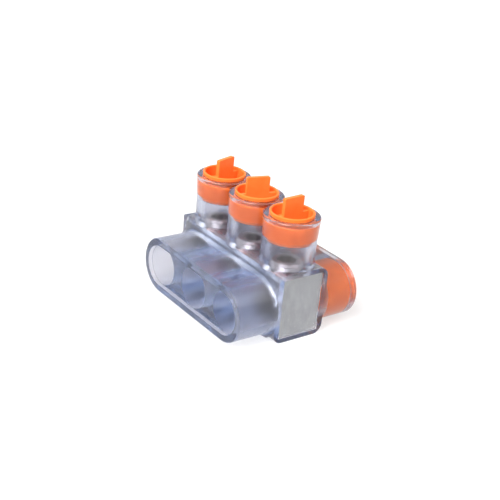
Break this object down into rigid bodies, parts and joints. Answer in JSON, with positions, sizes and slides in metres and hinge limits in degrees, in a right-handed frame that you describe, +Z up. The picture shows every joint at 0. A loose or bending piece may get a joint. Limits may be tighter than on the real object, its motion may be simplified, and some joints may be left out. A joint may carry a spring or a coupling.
{
  "type": "insulated multi-tap connector",
  "caption": "Wire splice block of aluminium in a clear moulded housing, with open ports for conductors, set screws in round towers and orange pull-out plugs.",
  "frame": {"origin": "on the flat resting face, below the middle of the aluminium block and the axis of the middle tower", "axes": "+Z up, along the towers; +X along the row of ports, towards the end with the flat cover; -Y out of the open wire ports"},
  "size_m": [0.0791, 0.0725, 0.0617],
  "materials": {
    "clear_pvc": "clear moulded PVC with a faint blue tint",
    "clear_sheet": "clear flat sheet",
    "block_aluminium": "matte extruded, sawn at the ends",
    "screw_aluminium": "bright turned",
    "orange_plastic": "satin moulded"
  },
  "bodies": {
    "connector": {"housing": "clear_pvc", "end_cover": "clear_sheet", "block": "block_aluminium"},
    "set_screw_1": {"set_screw_1": "screw_aluminium"},
    "access_plug_1": {"access_plug_1": "orange_plastic"},
    "port_plug_1": {"port_plug_1": "orange_plastic"},
    "set_screw_2": {"set_screw_2": "screw_aluminium"},
    "access_plug_2": {"access_plug_2": "orange_plastic"},
    "port_plug_2": {"port_plug_2": "orange_plastic"},
    "set_screw_3": {"set_screw_3": "screw_aluminium"},
    "access_plug_3": {"access_plug_3": "orange_plastic"},
    "port_plug_3": {"port_plug_3": "orange_plastic"}
  },
  "joints": [
    {"name": "set_screw_1_travel", "type": "slide", "parent": "connector", "child": "set_screw_1", "axis": [0, 0, -1], "range_m": [0, 0.011]},
    {"name": "access_plug_1_pull", "type": "slide", "parent": "connector", "child": "access_plug_1", "axis": [0, 0, 1], "range_m": [0, 0.014]},
    {"name": "port_plug_1_pull", "type": "slide", "parent": "connector", "child": "port_plug_1", "axis": [0, 1, 0], "range_m": [0, 0.02]},
    {"name": "set_screw_2_travel", "type": "slide", "parent": "connector", "child": "set_screw_2", "axis": [0, 0, -1], "range_m": [0, 0.011]},
    {"name": "access_plug_2_pull", "type": "slide", "parent": "connector", "child": "access_plug_2", "axis": [0, 0, 1], "range_m": [0, 0.014]},
    {"name": "port_plug_2_pull", "type": "slide", "parent": "connector", "child": "port_plug_2", "axis": [0, 1, 0], "range_m": [0, 0.02]},
    {"name": "set_screw_3_travel", "type": "slide", "parent": "connector", "child": "set_screw_3", "axis": [0, 0, -1], "range_m": [0, 0.011]},
    {"name": "access_plug_3_pull", "type": "slide", "parent": "connector", "child": "access_plug_3", "axis": [0, 0, 1], "range_m": [0, 0.014]},
    {"name": "port_plug_3_pull", "type": "slide", "parent": "connector", "child": "port_plug_3", "axis": [0, 1, 0], "range_m": [0, 0.02]}
  ]
}
